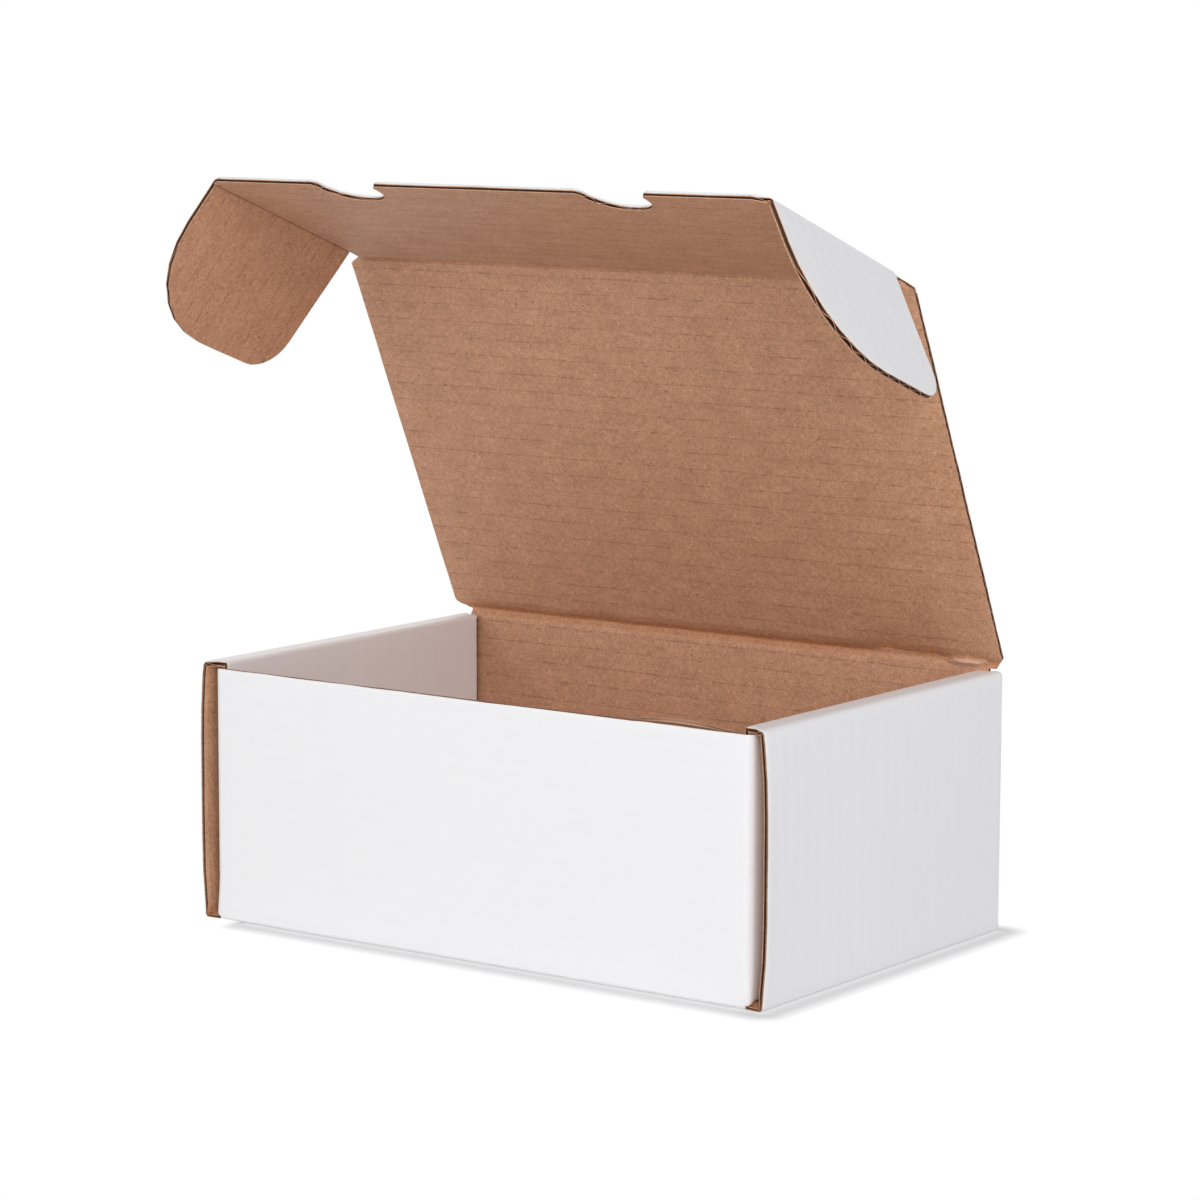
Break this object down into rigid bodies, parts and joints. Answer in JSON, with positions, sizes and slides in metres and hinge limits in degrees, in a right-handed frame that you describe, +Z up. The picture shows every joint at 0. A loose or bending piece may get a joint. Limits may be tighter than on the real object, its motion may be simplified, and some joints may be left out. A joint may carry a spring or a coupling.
{
  "type": "trading card storage box",
  "caption": "Folded corrugated mailer box for standing card rows: rolled side walls, hinged lid, notched outside tuck flap, side ears.",
  "frame": {"origin": "middle of the bottom's underside, where the box stands on a table", "axes": "+Z up; +X to the right along the front wall, the box's long side; +Y from the front wall to the lid's hinge at the back"},
  "size_m": [0.2641, 0.1393, 0.2406],
  "materials": {
    "white_board": "matt white outer liner of corrugated board",
    "kraft_board": "matt brown kraft inner liner of corrugated board, with fibre flecks"
  },
  "bodies": {
    "tray": {"tray": "white_board"},
    "lid": {"lid": "kraft_board"},
    "tuck_flap": {"tuck_flap": "kraft_board"},
    "ear_left": {"ear_left": "kraft_board"},
    "ear_right": {"ear_right": "white_board"}
  },
  "joints": [
    {"name": "lid_hinge", "type": "hinge", "parent": "tray", "child": "lid", "pos_m": [0, 0.0685, 0.0867], "axis": [-1, 0, 0], "range_deg": [-65, 115]},
    {"name": "tuck_crease", "type": "hinge", "parent": "lid", "child": "tuck_flap", "pos_m": [0, 0.00967, 0.21286], "axis": [-1, 0, 0], "range_deg": [-45, 45]},
    {"name": "ear_left_crease", "type": "hinge", "parent": "tuck_flap", "child": "ear_left", "pos_m": [-0.10675, 0.00967, 0.21286], "axis": [0, 0.9397, -0.342], "range_deg": [-26, 64]},
    {"name": "ear_right_crease", "type": "hinge", "parent": "tuck_flap", "child": "ear_right", "pos_m": [0.10675, 0.00967, 0.21286], "axis": [0, -0.9397, 0.342], "range_deg": [-35, 55]}
  ]
}
